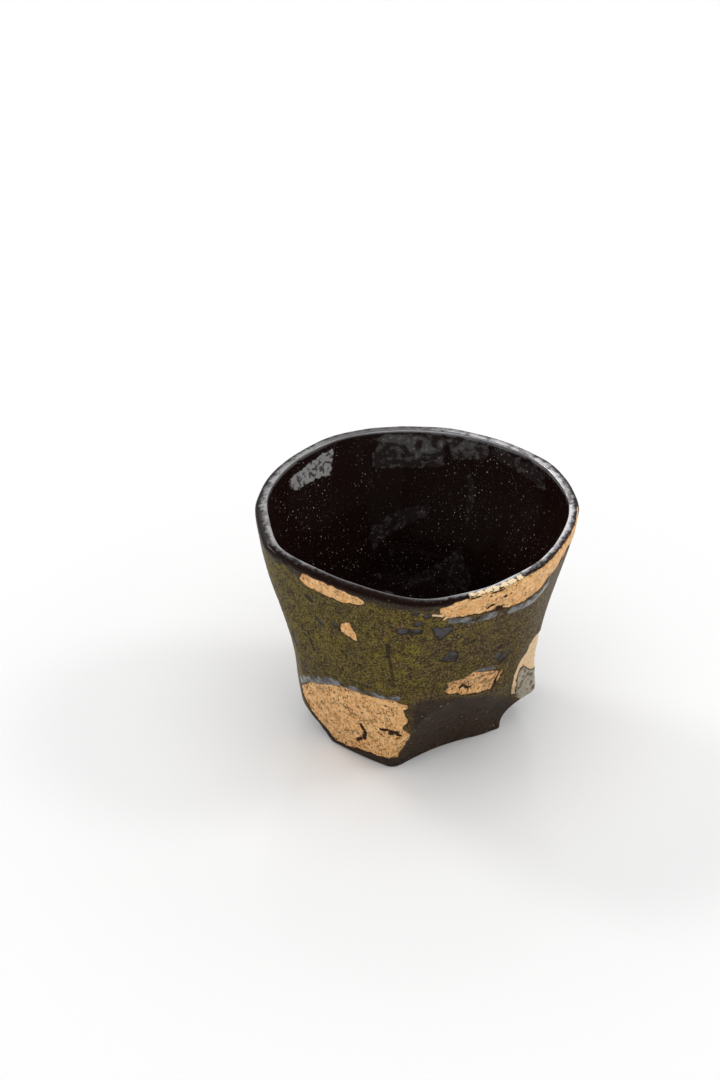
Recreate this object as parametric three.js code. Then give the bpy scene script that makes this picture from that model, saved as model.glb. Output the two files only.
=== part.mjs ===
// A small hand-carved stoneware tea cup: a thick bowl, turned round, then pared with a knife into broad
// bulging facets above and steeper scoops round its foot. Millimetres, +Z up, standing on its flat underside.
// The front of the cup faces -Y. Azimuths are in degrees from +X, turning towards +Y.
import * as THREE from 'three';
import { mergeVertices } from 'three/addons/utils/BufferGeometryUtils.js';

// Driving dimensions of the turned blank
const HEIGHT = 68;
const FOOT_RADIUS = 29.5;
const BELLY_HEIGHT = 22;
const BELLY_RADIUS = 38.1;
const LIP_RADIUS = 44.4;
const FOOT_ROUNDING = 2.2;
const FLARE_ROUNDING = 1.5;

// Driving dimensions of the hollow, the lip and the foot's edge
const WALL_AT_LIP = 3.2;
const WALL_AT_FOOT = 5.4;
const FLOOR_THICKNESS = 9;
const BOWL_ROUND_HEIGHT = 20;
const SOFTNESS_AT_LIP = 2;
const SOFTNESS_AT_FOOT = 5;
const LIP_ROUND_HEIGHT = 0.8;
const LIP_SQUARENESS = 0.6;
const FOOT_BEVEL = 0.6;

// Knife cuts. Each one faces an azimuth. At the height "at" it lies "reach" from the axis and leans out by
// "lean" per millimetre of height. "sweep" is its curvature up the wall and "hollow" its curvature across:
// a scoop has a positive hollow, a bulging facet a negative one. "soft" is the width of its worn edges.
const CUTS = {
  leftFacet: { facing: 189.5, at: 34, reach: 35.9, lean: 0.23, sweep: 1 / 128, hollow: -1 / 78, soft: 2 },
  frontLeftFacet: { facing: -121, at: 34, reach: 33.9, lean: 0.183, sweep: 1 / 759, hollow: -1 / 77, soft: 2 },
  frontRightFacet: { facing: -63.8, at: 34, reach: 31.1, lean: 0.296, sweep: 1 / 399, hollow: -1 / 91, soft: 2 },
  rightFacet: { facing: -29.6, at: 34, reach: 35, lean: 0.119, sweep: 1 / 158, hollow: -1 / 63.5, soft: 2 },
  backRightFacet: { facing: 40.7, at: 34, reach: 31.8, lean: 0.237, sweep: 1 / 51.7, hollow: -1 / 37.4, soft: 2 },
  backFacet: { facing: 77, at: 34, reach: 34.5, lean: 0.17, sweep: 1 / 279, hollow: -1 / 52, soft: 2 },
  backLeftFacet: { facing: 138.5, at: 34, reach: 34.5, lean: 0.19, sweep: 1 / 134, hollow: -1 / 147, soft: 2 },
  leftLipFlat: { facing: 191, at: 68, reach: 43.6, lean: 0.1, sweep: 1 / 371, hollow: 0, soft: 1 },
  frontRightLipFlat: { facing: -47.9, at: 68, reach: 42.4, lean: 0.182, sweep: 0, hollow: 1 / 173, soft: 1 },
  rightThumbScoop: { facing: -31.7, at: 22, reach: 31.2, lean: 0.145, sweep: 1 / 58, hollow: 1 / 48.4, soft: 0.6 },
  rightCornerScoop: { facing: -44.1, at: 22, reach: 30.2, lean: 0.771, sweep: 1 / 30.5, hollow: 1 / 32.8, soft: 1 },
  frontLeftFoot: { facing: -124, at: 12, reach: 28.7, lean: 0.235, sweep: 1 / 625, hollow: -1 / 102, soft: 1 },
  frontRightFoot: { facing: -60.8, at: 12, reach: 21.4, lean: 0.453, sweep: 1 / 31.5, hollow: 1 / 57.8, soft: 1 },
  rightFoot: { facing: -2.8, at: 12, reach: 32.3, lean: 1.476, sweep: 1 / 7.45, hollow: -1 / 462, soft: 0.6 },
  backRightFoot: { facing: 75, at: 12, reach: 29, lean: 0.55, sweep: 0, hollow: 0, soft: 1 },
  backLeftFoot: { facing: 130, at: 12, reach: 29, lean: 0.55, sweep: 0, hollow: 0, soft: 1 },
  leftFoot: { facing: 178.7, at: 12, reach: 32.4, lean: 0.78, sweep: -1 / 118, hollow: 1 / 300, soft: 1 },
};

// How finely the surface is stepped
const COLUMNS = 96;
const OUTER_ROWS = 30;
const ROW_CROWDING = 1.5;
const LIP_ROWS = 4;
const INNER_ROWS = 11;

// Radius of the turned blank at a height
function blankRadius(z) {
  if (z < BELLY_HEIGHT) {
    return BELLY_RADIUS - (BELLY_RADIUS - FOOT_RADIUS) * (1 - z / BELLY_HEIGHT) ** FOOT_ROUNDING;
  }
  const rise = (z - BELLY_HEIGHT) / (HEIGHT - BELLY_HEIGHT);
  return BELLY_RADIUS + (LIP_RADIUS - BELLY_RADIUS) * rise ** FLARE_ROUNDING;
}

// Radius at which a cut's sheet is met: across the facing direction the sheet is a parabola, so this is
// the near root of a quadratic. Infinity where the sheet is not met at all.
function cutRadius(cut, azimuth, z) {
  const turn = azimuth - THREE.MathUtils.degToRad(cut.facing);
  const rise = z - cut.at;
  const reach = cut.reach + cut.lean * rise + 0.5 * cut.sweep * rise * rise;
  const along = Math.cos(turn);
  const across = Math.sin(turn);
  const root = along * along - 2 * cut.hollow * across * across * reach;
  if (along < 0.05 || root < 0) return Infinity;
  return (2 * reach) / (along + Math.sqrt(root));
}

// The smaller of two radii, with the corner between them rounded over a width
function softMinimum(a, b, width) {
  const overlap = Math.max(width - Math.abs(a - b), 0) / width;
  return Math.min(a, b) - (overlap * overlap * width) / 4;
}

// Radius of the carved wall, its edges softened over at least the given width
function carvedRadius(azimuth, z, leastSoft = 0) {
  return Object.values(CUTS).reduce((radius, cut) => {
    const met = cutRadius(cut, azimuth, z);
    return Number.isFinite(met) ? softMinimum(radius, met, Math.max(cut.soft, leastSoft)) : radius;
  }, blankRadius(z));
}

// Radius of the hollow: the carved wall less its thickness, closing as a quarter round into the floor
function hollowRadius(azimuth, z) {
  const rise = (z - FLOOR_THICKNESS) / (HEIGHT - FLOOR_THICKNESS);
  const wall = THREE.MathUtils.lerp(WALL_AT_FOOT, WALL_AT_LIP, rise);
  const softness = THREE.MathUtils.lerp(SOFTNESS_AT_FOOT, SOFTNESS_AT_LIP, rise);
  const bowl = Math.min((z - FLOOR_THICKNESS) / BOWL_ROUND_HEIGHT, 1);
  return (carvedRadius(azimuth, z, softness) - wall) * Math.sqrt(1 - (1 - bowl) ** 2);
}

// The rows of the surface, from the middle of the underside, up the outside, over the lip and down the
// inside to the middle of the floor. Each row gives a radius and a height for an azimuth.
function surfaceRows() {
  const lipStart = HEIGHT - LIP_ROUND_HEIGHT;
  const rows = [
    () => [0, 0],
    (azimuth) => [0.5 * carvedRadius(azimuth, 0), 0],
    (azimuth) => [carvedRadius(azimuth, 0) - FOOT_BEVEL, 0],
  ];
  for (let i = 0; i <= OUTER_ROWS; i += 1) {
    const rise = (i / OUTER_ROWS) ** ROW_CROWDING;
    const z = THREE.MathUtils.lerp(FOOT_BEVEL, lipStart, rise);
    rows.push((azimuth) => [carvedRadius(azimuth, z), z]);
  }
  for (let i = 1; i < LIP_ROWS; i += 1) {
    const turn = (Math.PI * i) / LIP_ROWS;
    const along = Math.cos(turn);
    const across = Math.sign(along) * Math.abs(along) ** LIP_SQUARENESS;
    const z = lipStart + LIP_ROUND_HEIGHT * Math.sin(turn) ** LIP_SQUARENESS;
    rows.push((azimuth) => {
      const outside = carvedRadius(azimuth, lipStart);
      const inside = hollowRadius(azimuth, lipStart);
      return [(outside + inside) / 2 + (across * (outside - inside)) / 2, z];
    });
  }
  for (let i = 0; i < INNER_ROWS; i += 1) {
    const fall = Math.sin((Math.PI / 2) * (i / INNER_ROWS));
    const z = THREE.MathUtils.lerp(lipStart, FLOOR_THICKNESS, fall);
    rows.push((azimuth) => [hollowRadius(azimuth, z), z]);
  }
  rows.push(() => [0, FLOOR_THICKNESS]);
  return rows;
}

// A lathe whose every point is then moved to the carved surface
function cupGeometry() {
  const rows = surfaceRows();
  const turned = rows.map((row) => new THREE.Vector2(...row(0)));
  const geometry = new THREE.LatheGeometry(turned, COLUMNS);
  const position = geometry.getAttribute('position');
  for (let i = 0; i < position.count; i += 1) {
    const azimuth = (2 * Math.PI * (Math.floor(i / rows.length) % COLUMNS)) / COLUMNS;
    const [radius, z] = rows[i % rows.length](azimuth);
    position.setXYZ(i, radius * Math.cos(azimuth), radius * Math.sin(azimuth), z);
  }
  geometry.deleteAttribute('normal');
  geometry.deleteAttribute('uv');
  return mergeVertices(geometry);
}

// Puts the middle of the cup's own width and depth over the origin
function centre(geometry) {
  geometry.computeBoundingBox();
  const middle = geometry.boundingBox.getCenter(new THREE.Vector3());
  return geometry.translate(-middle.x, -middle.y, 0);
}

const stoneware = new THREE.MeshStandardMaterial({ color: 0x4a4a24, roughness: 0.45, metalness: 0 });
const cup = new THREE.Mesh(centre(cupGeometry()), stoneware);
cup.name = 'cup';

const teaCup = new THREE.Group();
teaCup.add(cup);

export default teaCup;
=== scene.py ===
"""A hand-carved stoneware tea cup with mottled green glaze, a dark glazed hollow and patches of gold leaf.

The cup is one closed surface worked out on a grid of azimuths and rows. Sizes in the formulas are in
millimetres, azimuths are in degrees from +X towards +Y, and the mesh is written in metres.
"""

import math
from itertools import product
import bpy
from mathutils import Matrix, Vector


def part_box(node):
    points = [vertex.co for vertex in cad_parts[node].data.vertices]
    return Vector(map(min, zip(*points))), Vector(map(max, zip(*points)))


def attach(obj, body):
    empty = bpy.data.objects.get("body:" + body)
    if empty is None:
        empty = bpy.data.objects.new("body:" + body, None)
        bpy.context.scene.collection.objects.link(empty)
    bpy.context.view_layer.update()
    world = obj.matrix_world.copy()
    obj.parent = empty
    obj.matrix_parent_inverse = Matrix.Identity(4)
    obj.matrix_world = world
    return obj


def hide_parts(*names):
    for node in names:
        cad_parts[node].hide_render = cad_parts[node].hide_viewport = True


bl_info = {
    "name": "Carved tea cup",
    "version": (1, 0, 0),
    "blender": (4, 5, 0),
    "location": "3D View > Sidebar > Tea cup",
    "description": "Builds a hand-carved tea cup with gold-patched glaze, and the stage it stands on",
    "category": "Add Mesh",
}

from types import SimpleNamespace
from typing import NamedTuple

import bpy
import numpy as np
from bpy.props import FloatProperty, FloatVectorProperty, PointerProperty
from bpy.types import Operator, Panel, PropertyGroup
from mathutils import Vector

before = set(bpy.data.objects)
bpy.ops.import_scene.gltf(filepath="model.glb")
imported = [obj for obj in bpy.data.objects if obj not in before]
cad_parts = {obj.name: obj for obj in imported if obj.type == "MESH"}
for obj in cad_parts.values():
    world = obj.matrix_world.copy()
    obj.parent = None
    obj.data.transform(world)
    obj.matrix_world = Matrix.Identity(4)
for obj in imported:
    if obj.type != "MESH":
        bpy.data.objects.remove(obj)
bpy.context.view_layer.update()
CUP_LOW, CUP_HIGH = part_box("cup")

MM = 0.001

# How finely the surface is stepped
COLUMNS = 480
UNDERSIDE_ROWS = 8
BEVEL_ROWS = 3
WALL_ROWS = 118
LIP_ROWS = 14
HOLLOW_ROWS = 54

# Arc length over the lip, from the outside wall to the hollow
LIP_ARC = 4.3

# Power of the lip's rounding, less than 1 for a squarer lip
LIP_SQUARENESS = 0.6

# Radius at which distances round the wall are measured
MEAN_RADIUS = 37.0

# Powers that round the blank to its foot and flare it to its lip
FOOT_ROUNDING = 2.2
FLARE_ROUNDING = 1.5

# Least softness of the hollow's edges, at its floor and at the lip
SOFTNESS_AT_FOOT = 5.0
SOFTNESS_AT_LIP = 2.0

# A cut is met only where the cosine of the turn from its facing is this much. Elsewhere it is far out.
LEAST_FACING = 0.05
FAR_OUT = 1000.0

# Shortest normal that can still be scaled to a unit
LEAST_NORMAL = 1e-9

# Odd numbers that mix the bits of a lattice point, and the bits that are kept
AXIS_MIXERS = (374761393, 668265263, 974634779)
BIT_MIXER = 1274126177
LOW_32_BITS = 0xFFFFFFFF
LOW_16_BITS = 0xFFFF

# Millimetres from the edge of a large bare spot to its full depth
BARE_SLOPE = 1.6

# A foot cut shallower than this keeps the green glaze
LEAST_SCOOP = 0.45

# Climb in millimetres at which the finish or the relief changes. A pair runs from none to full.
STAIN_START = 65.2
STAIN_WIDTH = 1.5
LIP_TOP = 69.2
HOLLOW_START = (71.0, 72.5)
INNER_EDGE_START = (70.6, 70.9)
INNER_EDGE_END = (71.9, 71.5)
CREST_END = (72.4, 71.4)
# Climb at which the painted reflection turns from the knob's colour to the hollow's
HOLLOW_NOT_KNOB = (60.0, 66.0)
RIPPLE_START = (70, 73)
WOBBLE_START = (60, 68)
WOBBLE_END = (80, 71)

# Places along X in millimetres between which the painted highlight on the lip grows stronger
SHEEN_RIGHT = (-5.0, 22.0)
SHEEN_LEFT = (-20.0, -34.0)

# Grain of the glaze and of its blotches, in millimetres, and the middle value of any noise
GLAZE_GRAIN = 0.55
GLAZE_BLOTCH = 2.6
NOISE_MIDDLE = 0.5

# Dark rim of a bare spot, outside and inside its edge, as a share of its depth
RIM_WIDTH = 0.18
RIM_INSET = 0.10

# Dark line round the gold in millimetres, and how metallic the gold is
GOLD_LINE = 0.35
GOLD_METAL = 0.55

# Turn, squeeze and grain of the strokes in the gold
STROKE_TURN = (0.5, 0.7, 0.4)
STROKE_SQUEEZE = (1.0, 1.0, 0.35)
STROKE_GRAIN = 0.55

# Parts of a unit direction between which the light of the sky changes
CEILING_START = (0.58, 0.76)
BACKDROP_START = (0.38, 0.58)
BACKDROP_BACK = (0.2, 0.7)
BACKDROP_RIGHT = (0.5, 0.9)

# Kinds of socket, and how nodes are laid out
FLOAT = "NodeSocketFloat"
VECTOR = "NodeSocketVector"
NODES_PER_COLUMN = 6
NODE_SPACING = (220, 240)

# Width of the camera's sensor in millimetres, and the nearest distance that it sees in metres
SENSOR_WIDTH = 36.0
NEAREST_SEEN = 0.01


# Knife cuts that shape the outside

class KnifeCut(NamedTuple):
    """One pass of the knife: a sheet that faces an azimuth, with its reach measured at a height.

    It leans out by lean per millimetre of height. sweep is its curvature up the wall and hollow its
    curvature across, positive for a scoop. soft is the width of its worn edges.
    """

    facing: float
    at: float
    reach: float
    lean: float
    sweep: float
    hollow: float
    soft: float


FACETS = {
    "left facet": KnifeCut(189.5, 34, 35.9, 0.23, 1 / 128, -1 / 78, 2),
    "front left facet": KnifeCut(-121, 34, 33.9, 0.183, 1 / 759, -1 / 77, 2),
    "front right facet": KnifeCut(-63.8, 34, 31.1, 0.296, 1 / 399, -1 / 91, 2),
    "right facet": KnifeCut(-29.6, 34, 35, 0.119, 1 / 158, -1 / 63.5, 2),
    "back right facet": KnifeCut(40.7, 34, 31.8, 0.237, 1 / 51.7, -1 / 37.4, 2),
    "back facet": KnifeCut(77, 34, 34.5, 0.17, 1 / 279, -1 / 52, 2),
    "back left facet": KnifeCut(138.5, 34, 34.5, 0.19, 1 / 134, -1 / 147, 2),
    "left lip flat": KnifeCut(191, 68, 43.6, 0.1, 1 / 371, 0, 1),
    "front right lip flat": KnifeCut(-47.9, 68, 42.4, 0.182, 0, 1 / 173, 1),
    "right thumb scoop": KnifeCut(-31.7, 22, 31.2, 0.145, 1 / 58, 1 / 48.4, 0.6),
    "right corner scoop": KnifeCut(-44.1, 22, 30.2, 0.771, 1 / 30.5, 1 / 32.8, 1),
}
FOOT_CUTS = {
    "front left foot": KnifeCut(-124, 12, 28.7, 0.235, 1 / 625, -1 / 102, 1),
    "front right foot": KnifeCut(-60.8, 12, 21.4, 0.453, 1 / 31.5, 1 / 57.8, 1),
    "right foot": KnifeCut(-2.8, 12, 32.3, 1.476, 1 / 7.45, -1 / 462, 0.6),
    "back right foot": KnifeCut(75, 12, 29, 0.55, 0, 0, 1),
    "back left foot": KnifeCut(130, 12, 29, 0.55, 0, 0, 1),
    "left foot": KnifeCut(178.7, 12, 32.4, 0.78, -1 / 118, 1 / 300, 1),
}

ALL_CUTS = (*FACETS.values(), *FOOT_CUTS.values())


# Patches, ovals and stripes of other finishes

class Patch(NamedTuple):
    """A patch of another finish: how strong or how worn it is, from 0 to 1, and its closed outline.

    The outline is in degrees of azimuth and millimetres of climb. Climb is measured up the wall, over the
    lip and down the hollow.
    """

    strength: float
    outline: tuple


# Gold patches, each with its wear. The least worn also get a painted highlight.
GOLD_PATCHES = {
    "leaf under the lip": Patch(0.35, (
        (-139, 63.7), (-137, 66.6), (-128.5, 66.5), (-117.4, 66.3), (-110, 65.3), (-109.6, 64.2),
        (-112.4, 62.7), (-120.4, 61.9), (-129.6, 62.1), (-135.3, 62.4),
    )),
    "small diamond": Patch(0.25, (
        (-122.3, 52.7), (-119.7, 54), (-117.6, 54.8), (-116.3, 52.2), (-115.5, 51.2), (-115.3, 48),
        (-119.2, 49.1), (-122.4, 50),
    )),
    "front left foot": Patch(0.6, (
        (-161, 16), (-149.9, 21.8), (-139.1, 24.7), (-129, 27), (-111.7, 27.9), (-100.1, 28.4),
        (-94.3, 25.8), (-93, 24), (-96.3, 24), (-93.3, 19.2), (-94, 17.5), (-96.8, 16), (-91.8, 12.1),
        (-96, 8), (-99.5, 3.9), (-117, 3.3), (-131, 2), (-143, 1.4), (-154, 8),
    )),
    "right lip band": Patch(0.3, (
        (-81.5, 63.9), (-81.7, 65.7), (-77.4, 66.3), (-75.8, 67.3), (-70, 67.9), (-60, 68.2),
        (-20, 68.3), (6, 68.3), (2, 66), (-8, 63.8), (-18, 62.2), (-27.6, 60.9), (-33.9, 58.9),
        (-46.4, 58.2), (-54.3, 58.7), (-65.1, 59.9), (-77.4, 60.9), (-80.1, 60.6), (-78.7, 61.8),
    )),
    "spike of the band": Patch(0.1, (
        (-84.6, 63.6), (-80.7, 63), (-79, 61.5), (-80.6, 61.8), (-84.6, 62.7),
    )),
    "right facet": Patch(1.0, (
        (-74, 32.4), (-65, 31.9), (-59.4, 33.6), (-45, 30.9), (-40.5, 30.5), (-41.6, 27.6),
        (-43.5, 24.5), (-45.6, 23.8), (-53.1, 23.9), (-63.6, 25.2), (-67, 26.8), (-71.1, 26.7),
        (-74.2, 28.2), (-72.4, 29.9),
    )),
    "thumb scoop": Patch(0.15, (
        (-18.8, 36), (-24.7, 36.8), (-26.4, 34.9), (-26, 32), (-29.8, 29.8), (-31.1, 24.5),
        (-29.6, 20.6), (-22.8, 14.4), (-20.8, 13.8), (-24.6, 17.6), (-27.8, 21.9), (-27.1, 26.4),
        (-23.3, 25.7), (-16, 21.6), (-4, 20), (0, 26), (-8, 33),
    )),
    "upper left leaf": Patch(0.4, ((-171, 58), (-164.5, 58.8), (-163, 55), (-168, 53))),
    "lower left leaf": Patch(0.4, ((-164, 47), (-160, 47.5), (-159, 43), (-162, 41.5))),
    "back leaf": Patch(0.5, ((58, 44), (70, 47.5), (84, 46), (92, 41.5), (80, 39.5), (66, 40))),
    "back foot": Patch(0.6, ((118, 20), (132, 23.5), (146, 21), (150, 13), (138, 8), (124, 10))),
}

# Painted reflections on the glaze, as pale patches: in the hollow over rippled relief, and on the knob
# under the thumb scoop
REFLECTION_PATCHES = {
    "left back": Patch(0.75, (
        (152, 74.5), (153, 77.5), (147, 78.6), (134, 79), (130, 79.8), (127, 76.5), (126, 73.1),
        (133, 73.7), (144, 74.5),
    )),
    "centre back": Patch(0.13, ((110, 78.2), (109, 81.4), (88, 81.5), (78, 80.7), (80, 72), (104, 72.2))),
    "right back": Patch(0.13, ((79, 72), (62, 72), (58, 74.5), (61, 76.5), (75, 78.3))),
    "right waves": Patch(0.12, (
        (60, 72), (54, 72), (47, 73), (29, 75.2), (27, 76.3), (31, 77.6), (43, 76.4), (54, 75.8),
    )),
    "right under the lip": Patch(0.11, ((46, 71.8), (19, 71.8), (23, 72.9), (41, 73.5))),
    "middle streak": Patch(0.10, (
        (116, 101.5), (112, 103.7), (93, 97.4), (84, 94.4), (84, 91.8), (100, 93.8), (112, 98.3),
    )),
    "drip": Patch(0.08, ((69, 80), (66, 84), (64.5, 94.5), (62.5, 94.5), (62, 86), (67, 80))),
    "floor": Patch(0.10, (
        (101, 117.3), (94, 114.1), (74, 106.8), (64, 100.8), (62, 105), (54, 108.9), (57, 113.6),
        (76, 112.2),
    )),
    "knob": Patch(0.78, (
        (-25.9, 26), (-23.1, 25.5), (-16, 21.6), (-11.9, 20.4), (-5, 15), (-7, 11.7), (-13, 9.3),
        (-18.1, 11.8), (-23, 16.2), (-26.7, 21.5),
    )),
}

# Dark brown foot: a thin band on the left, and on the right all below the ridge that runs to the knob
DARK_FOOT = (
    (-162, -5), (-160, 2.5), (-143, 2.5), (-117, 4), (-97.2, 6), (-92, 13.6), (-93.4, 23.6), (-87.5, 27),
    (-82.3, 27), (-73.8, 25.9), (-67.9, 25.4), (-60.6, 23.8), (-51.4, 22.3), (-39.9, 19.2),
    (-27.1, 15.2), (-14.8, 10.6), (0, 10.5), (12, 9), (12, -5),
)


class Oval(NamedTuple):
    """An oval on the surface: its azimuth and climb, half width, half height, and tilt in degrees."""

    azimuth: float
    climb: float
    half_width: float
    half_height: float
    tilt: float


# Small spots where the glaze has crawled back
BARE_SPOTS = (
    Oval(-95.1, 56.8, 1.5, 1.1, 25),
    Oval(-89.9, 57, 1.5, 1.0, 0),
    Oval(-89.4, 60.1, 1.1, 0.9, 0),
    Oval(-85.9, 63.2, 0.9, 0.9, 0),
    Oval(-90.3, 64.1, 0.8, 0.7, 0),
    Oval(-47.8, 37.8, 1.5, 1.2, 20),
    Oval(-44.2, 36, 1.5, 1.4, 0),
    Oval(-48.6, 41.7, 0.7, 0.6, 0),
    Oval(-124.6, 51.6, 1.0, 0.9, 0),
    Oval(-132.8, 50.6, 0.6, 1.5, 35),
    Oval(-152, 37, 0.9, 2.2, 10),
    Oval(-136, 58, 0.7, 1.4, 50),
    Oval(30, 50, 1.6, 1.2, 0),
    Oval(112, 52, 2.0, 1.4, 20),
    Oval(160, 44, 1.3, 1.8, 0),
)

# Outlines of two larger bare spots on the front: a heart, and a wedge below it
BARE_OUTLINES = {
    "heart": (
        (-84, 57.5), (-82.1, 57.8), (-80.8, 56.8), (-78.9, 57.3), (-75.8, 56.8), (-76.1, 54.9),
        (-77.6, 53.7), (-80.3, 51.7), (-82.1, 54),
    ),
    "wedge": (
        (-78.9, 42.8), (-76.6, 44.6), (-75, 46.2), (-72.4, 45.6), (-70.4, 42.9), (-71.7, 41.2),
        (-75.7, 41.6),
    ),
}


class Stripe(NamedTuple):
    """A stripe on the surface: its half width, and its middle line as points of azimuth and climb."""

    half_width: float
    line: tuple


# Thick rolled edges of the glaze, their blue-grey colour partly a painted reflection
GLAZE_ROLLS = (
    Stripe(1.3, ((-158, 20), (-147.9, 23.6), (-138.5, 26.2), (-128, 28.2))),
    Stripe(0.9, ((-128, 28.2), (-114.3, 28.7), (-103.8, 29), (-98, 29.2))),
    Stripe(1.2, ((-76.4, 59.6), (-70.9, 58), (-65, 57.4), (-58, 57.4))),
    Stripe(1.2, ((-50, 56.7), (-44.2, 56.3), (-38.8, 56), (-32.1, 56.4), (-27, 58.2))),
    Stripe(0.7, ((-57.4, 34.4), (-48.9, 33.2))),
)

# Dark cracks and holes torn in the gold
GOLD_CRACKS = (
    Stripe(0.7, ((-121, 13.4), (-118.7, 11.4), (-119.6, 8.7), (-125.6, 6.2))),
    Stripe(0.5, ((-108.5, 15), (-104, 15.4), (-100.8, 14.4), (-97, 12.4))),
    Stripe(1.0, ((-102, 14.4), (-99.5, 14.2))),
    Stripe(0.5, ((-65.7, 28.2), (-64.2, 29.2), (-60.6, 27.2), (-58.8, 27.2))),
    Stripe(0.35, ((-42.7, 29.7), (-43.1, 27.2), (-44, 24.2))),
    Stripe(1.0, ((-57.2, 59.4), (-55.6, 59))),
    Stripe(0.5, ((-61.6, 61), (-59.8, 61.6))),
    Stripe(0.5, ((-56, 63.8), (-55.2, 64.1))),
    Stripe(0.4, ((-70, 67.2), (-66.5, 67.4))),
    Stripe(0.4, ((-61.5, 67.4), (-56.5, 67.6))),
)

# Small raised lumps of gold along the lip, coloured near white as painted glints: half widths by azimuth
LUMP_WIDTHS = {-69: 0.8, -65.5: 1.3, -62.5: 0.8, -59.5: 1.2, -55.6: 1.0, -52: 1.4, -48: 0.9}
LUMP_CLIMB = 68.7
LUMP_HALF_HEIGHT = 0.6
GOLD_LUMPS = tuple(
    Oval(azimuth, LUMP_CLIMB, half_width, LUMP_HALF_HEIGHT, 0)
    for azimuth, half_width in LUMP_WIDTHS.items()
)

# Brown runs down the front, and a scratch that joins one of them
BROWN_RUNS = (
    Stripe(0.8, ((-101, 50.3), (-101.2, 46.4))),
    Stripe(0.5, ((-101.2, 46.4), (-100.5, 43.9), (-99.6, 36.8))),
    Stripe(0.3, ((-108.5, 48.5), (-106.9, 47), (-104.7, 46), (-102.1, 45.4), (-100.5, 44.2))),
    Stripe(0.35, ((-121.9, 31.5), (-111.1, 31.6), (-105.1, 31.1))),
    Stripe(0.4, ((-141.5, 44), (-140.5, 37))),
)


class StudioLight(NamedTuple):
    """A round lamp: where it hangs, its width, its share of the power, and whether it shows in gloss."""

    name: str
    azimuth: float
    rise: float
    distance: float
    size: float
    share: float
    mirrored: bool


STUDIO_LIGHTS = (
    StudioLight("left_lamp", 144, 42, 6.0, 1.40, 0.520, True),
    StudioLight("right_lamp", 9, 45, 6.0, 1.40, 0.420, True),
    StudioLight("ceiling_lamp", 270, 85, 4.0, 5.0, 0.820, False),
)


# Settings that a user would change

def length(name, description, default):
    """A length setting, in metres."""
    return FloatProperty(name=name, description=description, default=default, unit="LENGTH")


def colour(name, description, default):
    """A colour setting, in linear light."""
    return FloatVectorProperty(
        name=name, description=description, subtype="COLOR", size=3, min=0, max=1, default=default)


class CupShape(PropertyGroup):
    """Driving dimensions of the turned blank, the hollow and the lip."""

    height: length("Height", "From the underside to the top of the lip", CUP_HIGH.z - CUP_LOW.z)
    foot_radius: length("Foot radius", "Radius of the turned blank at the floor", 0.0295)
    belly_radius: length("Belly radius", "Radius of the turned blank at the belly", 0.0381)
    belly_height: length("Belly height", "Height of the belly", 0.022)
    lip_radius: length("Lip radius", "Radius of the turned blank at the lip", 0.0444)
    wall_at_lip: length("Wall at lip", "Thickness of the wall at the lip", 0.0032)
    wall_at_foot: length("Wall at foot", "Thickness of the wall at the floor", 0.0054)
    floor_thickness: length("Floor thickness", "Clay under the middle of the hollow", 0.009)
    bowl_round: length("Bowl round", "Height over which the hollow rounds into its floor", 0.020)
    lip_drop: length("Lip drop", "How far the lip's outer edge is worn down at the front", 0.0012)
    lip_rise: length("Lip rise", "How far the lip's inner edge stands up at the back", 0.0009)
    lip_round: length("Lip round", "Height of the rounded lip", 0.0008)
    foot_bevel: length("Foot bevel", "Radius of the worn edge round the underside", 0.0006)


class GlazeFinish(PropertyGroup):
    """Colours of the glazes, the bare clay, the gold, and the painted highlights and reflections on them.
    """

    moss: colour("Moss", "Main green of the outside glaze", (0.130, 0.095, 0.015))
    # Tan flecks: partly the glaze's grain, partly painted glints
    tan: colour("Tan", "Pale tan flecks in the outside glaze", (0.34, 0.27, 0.12))
    lichen: colour("Lichen", "Yellow-green clusters in the outside glaze", (0.25, 0.20, 0.028))
    bark: colour("Bark", "Brown of the outside glaze where it is thin", (0.112, 0.072, 0.022))
    umber: colour("Umber", "Dark brown specks in the outside glaze", (0.016, 0.011, 0.006))
    scoop: colour("Scooped foot", "Purple-brown of the scooped foot", (0.050, 0.027, 0.016))
    tenmoku: colour("Hollow", "Near-black glaze of the hollow and the lip", (0.010, 0.0040, 0.0031))
    # Painted reflection: pale grey laid on the dark glaze of the hollow
    painted_reflection: colour("Milk", "Milky bloom on the dark glaze", (0.40, 0.39, 0.385))
    # Painted reflection on the knob's grey-green glaze
    ash: colour("Ash", "Grey-green bloom on the knob under the thumb scoop", (0.36, 0.31, 0.22))
    # Painted highlight along the top of the lip, laid as a bright metal
    sheen: colour("Lip sheen", "Bright worn glaze along the top of the lip", (0.62, 0.60, 0.62))
    stain: colour("Stain", "Brown stain under the lip", (0.026, 0.021, 0.022))
    speck: colour("Specks", "Pale specks in the dark glaze", (0.55, 0.50, 0.44))
    bare: colour("Bare spots", "Grey-purple spots where the glaze crawled back", (0.048, 0.043, 0.046))
    # Rolled glaze edges: blue-grey partly as a painted reflection
    roll: colour("Glaze roll", "Blue-grey thick edges of the glaze", (0.165, 0.163, 0.160))
    gold: colour("Gold", "Gold leaf", (0.84, 0.41, 0.13))
    gold_light: colour("Gold, light", "Burnished parts of the gold leaf", (1.0, 0.66, 0.33))
    gold_shade: colour("Gold, shaded", "Brown strokes in the gold leaf", (0.30, 0.115, 0.030))
    # Painted glints: the white lumps along the lip, and the painted highlight on the least worn gold
    gold_glint: colour("Gold glints", "White-hot lumps of gold along the lip", (0.88, 0.68, 0.43))
    gold_pit: colour("Gold pits", "Pits and cracks in the gold leaf", (0.045, 0.022, 0.012))


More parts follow.
